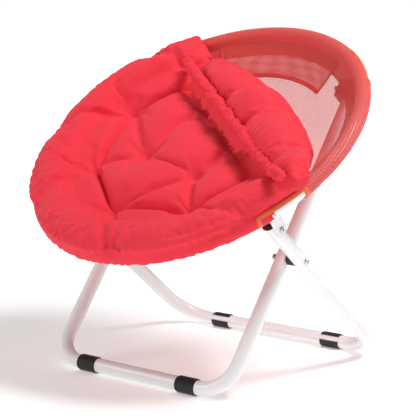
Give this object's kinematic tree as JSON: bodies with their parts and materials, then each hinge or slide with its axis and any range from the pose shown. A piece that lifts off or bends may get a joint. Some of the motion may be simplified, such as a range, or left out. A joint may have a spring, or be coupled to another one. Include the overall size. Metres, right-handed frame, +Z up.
{
  "type": "folding saucer chair",
  "caption": "Low round folding chair: a tilted tube ring with a mesh bowl and a tufted cushion, on crossed U-shaped tube legs with ribbed feet.",
  "frame": {"origin": "middle of the chair's footprint at floor level", "axes": "+Z up, +Y to the rear, +X across the seat to the sitter's left"},
  "size_m": [0.6357, 0.5426, 0.5934],
  "materials": {
    "white_enamel": "glossy white enamel on steel tube",
    "zinc": "bright zinc plate",
    "black_plastic": "moulded black nylon",
    "grey_plastic": "moulded grey polyethylene",
    "red_mesh": "open red polyester mesh",
    "orange_tape": "woven orange binding tape",
    "red_cotton": "smooth red cotton over wadding",
    "red_elastic": "gathered red cotton over elastic"
  },
  "bodies": {
    "inner_legs": {"front_foot_left": "black_plastic", "front_foot_right": "black_plastic", "inner_leg_frame": "white_enamel", "inner_tube_plug_left": "grey_plastic", "inner_tube_plug_right": "grey_plastic"},
    "outer_legs": {"crossing_nut_left": "zinc", "crossing_nut_right": "zinc", "crossing_screw_left": "zinc", "crossing_screw_right": "zinc", "crossing_spacer_left": "black_plastic", "crossing_spacer_right": "black_plastic", "outer_leg_frame": "white_enamel", "outer_tube_plug_left": "grey_plastic", "outer_tube_plug_right": "grey_plastic", "pivot_nut_left": "zinc", "pivot_nut_right": "zinc", "pivot_screw_left": "zinc", "pivot_screw_right": "zinc", "pivot_washer_left": "black_plastic", "pivot_washer_right": "black_plastic", "rear_foot_left": "black_plastic", "rear_foot_right": "black_plastic"},
    "seat": {"cushion": "red_cotton", "elastic_ruffle": "red_elastic", "front_binding_left": "orange_tape", "front_binding_right": "orange_tape", "front_bracket_left": "white_enamel", "front_bracket_right": "white_enamel", "mesh_sling": "red_mesh", "rear_binding_left": "orange_tape", "rear_binding_right": "orange_tape", "rear_bracket_left": "white_enamel", "rear_bracket_right": "white_enamel", "rear_pocket": "red_mesh", "rear_saddle_left": "black_plastic", "rear_saddle_right": "black_plastic", "saddle_nut_left": "zinc", "saddle_nut_right": "zinc", "saddle_screw_left": "zinc", "saddle_screw_right": "zinc", "seat_ring": "white_enamel"}
  },
  "joints": [
    {"name": "leg_fold", "type": "hinge", "parent": "inner_legs", "child": "outer_legs", "pos_m": [0, 0.00558, 0.21415], "axis": [-1, 0, 0], "range_deg": [0, 88.5]},
    {"name": "ring_turn", "type": "hinge", "parent": "outer_legs", "child": "seat", "pos_m": [0, -0.0727, 0.27749], "axis": [1, 0, 0], "range_deg": [0, 118]}
  ],
  "couplings": [
    {"joint": "ring_turn", "follows": "leg_fold", "ratio": 1.3333}
  ]
}
